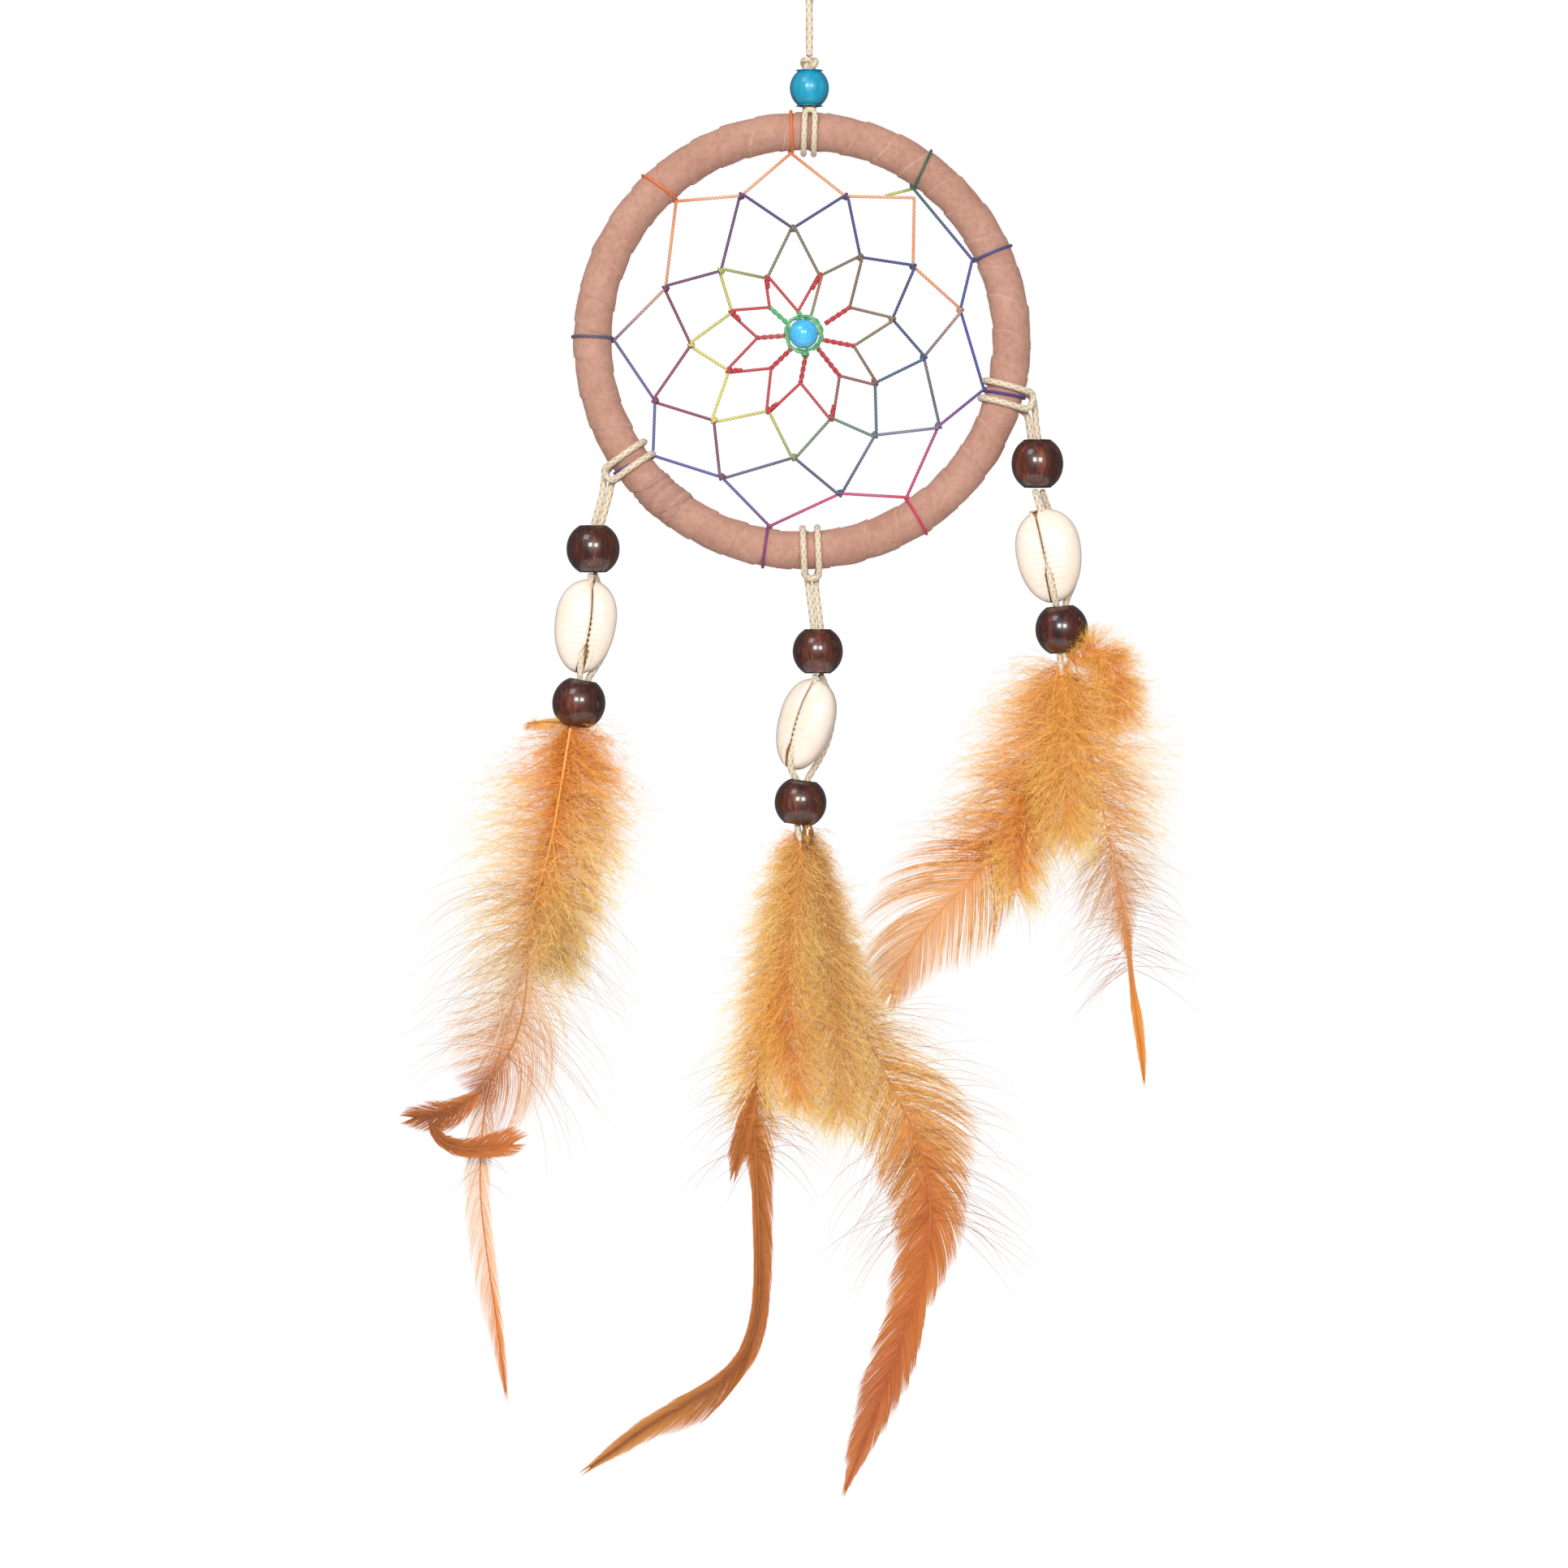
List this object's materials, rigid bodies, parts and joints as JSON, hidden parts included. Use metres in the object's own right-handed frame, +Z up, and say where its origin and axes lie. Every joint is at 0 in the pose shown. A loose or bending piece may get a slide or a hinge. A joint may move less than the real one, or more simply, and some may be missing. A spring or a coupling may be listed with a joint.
{
  "type": "dream catcher",
  "caption": "Wall-hanging dream catcher: suede-wrapped hoop with a knotted thread web and three corded pendants of beads, shells and feathers.",
  "frame": {"origin": "inside top of the hanging loop's eye, where a peg or nail carries it", "axes": "+Z up along the hanging cord, +X to the right seen from the front, the front of the hoop faces -Y"},
  "size_m": [0.1456, 0.018, 0.3194],
  "materials": {
    "cotton_cord": "waxed braided cotton, cream",
    "suede": "napped suede ribbon, dusty tan pink",
    "cane": "plain cane, hidden",
    "web_thread": "three-ply variegated thread, many colours along its length",
    "blue_wood": "gloss turquoise paint",
    "brown_wood": "dark brown gloss lacquer over grain",
    "blue_glass": "opaque sky-blue glass, gloss",
    "cowrie_shell": "natural glossy cream shell",
    "feather_down": "dyed orange downy barbs",
    "feather_vane": "dyed orange-brown flat feathers"
  },
  "bodies": {
    "hanger": {"hanging_cord": "cotton_cord", "top_knot": "cotton_cord", "blue_bead": "blue_wood"},
    "top_hitch": {"top_hitch_cord": "cotton_cord"},
    "hoop": {"hoop_core": "cane", "suede_wrap": "suede", "suede_end_turn": "suede", "web_thread": "web_thread", "web_hoop_loops": "web_thread", "centre_bead": "blue_glass", "left_hitch_cord": "cotton_cord", "centre_hitch_cord": "cotton_cord", "right_hitch_cord": "cotton_cord"},
    "left_upper": {"left_upper_cords": "cotton_cord", "left_upper_bead": "brown_wood"},
    "left_lower": {"left_shell": "cowrie_shell", "left_front_cord": "cotton_cord", "left_back_cord": "cotton_cord", "left_lower_bead": "brown_wood"},
    "left_feathers": {"left_down": "feather_down", "left_long_feather": "feather_vane", "left_narrow_feather": "feather_vane"},
    "centre_upper": {"centre_upper_cords": "cotton_cord", "centre_upper_bead": "brown_wood"},
    "centre_lower": {"centre_shell": "cowrie_shell", "centre_front_cord": "cotton_cord", "centre_back_cord": "cotton_cord", "centre_lower_bead": "brown_wood"},
    "centre_feathers": {"centre_down": "feather_down", "centre_broad_feather": "feather_vane", "centre_curved_feather": "feather_vane"},
    "right_upper": {"right_upper_cords": "cotton_cord", "right_upper_bead": "brown_wood"},
    "right_lower": {"right_shell": "cowrie_shell", "right_front_cord": "cotton_cord", "right_back_cord": "cotton_cord", "right_lower_bead": "brown_wood"},
    "right_feathers": {"right_down": "feather_down", "right_narrow_feather": "feather_vane", "right_wide_feather": "feather_vane"}
  },
  "joints": [
    {"name": "cord_twist", "type": "hinge", "parent": "hanger", "child": "top_hitch", "pos_m": [0.00005, 0, -0.041], "axis": [0, 0, 1], "range_deg": [-60, 60]},
    {"name": "hoop_tilt", "type": "hinge", "parent": "top_hitch", "child": "hoop", "pos_m": [0.00004, 0, -0.04993], "axis": [1, 0, 0], "range_deg": [-20, 20]},
    {"name": "left_swing", "type": "hinge", "parent": "hoop", "child": "left_upper", "pos_m": [-0.0399, 0.0002, -0.121], "axis": [1, 0, 0], "range_deg": [-20, 20]},
    {"name": "left_sway", "type": "hinge", "parent": "left_upper", "child": "left_lower", "pos_m": [-0.0426, 0, -0.1368], "axis": [0, 1, 0], "range_deg": [-12, 12]},
    {"name": "left_feather_flex", "type": "hinge", "parent": "left_lower", "child": "left_feathers", "pos_m": [-0.0462, 0, -0.1672], "axis": [0, 1, 0], "range_deg": [-10, 10]},
    {"name": "centre_swing", "type": "hinge", "parent": "hoop", "child": "centre_upper", "pos_m": [0.0006, 0.0002, -0.1402], "axis": [1, 0, 0], "range_deg": [-20, 4]},
    {"name": "centre_sway", "type": "hinge", "parent": "centre_upper", "child": "centre_lower", "pos_m": [0.0017, 0, -0.1567], "axis": [0, 1, 0], "range_deg": [-12, 12]},
    {"name": "centre_feather_flex", "type": "hinge", "parent": "centre_lower", "child": "centre_feathers", "pos_m": [-0.0023, 0, -0.1866], "axis": [0, 1, 0], "range_deg": [-10, 10]},
    {"name": "right_swing", "type": "hinge", "parent": "hoop", "child": "right_upper", "pos_m": [0.044, 0.0002, -0.1075], "axis": [1, 0, 0], "range_deg": [-4, 20]},
    {"name": "right_sway", "type": "hinge", "parent": "right_upper", "child": "right_lower", "pos_m": [0.045, 0, -0.1202], "axis": [0, 1, 0], "range_deg": [-12, 12]},
    {"name": "right_feather_flex", "type": "hinge", "parent": "right_lower", "child": "right_feathers", "pos_m": [0.0502, 0, -0.1527], "axis": [0, 1, 0], "range_deg": [-10, 10]}
  ]
}
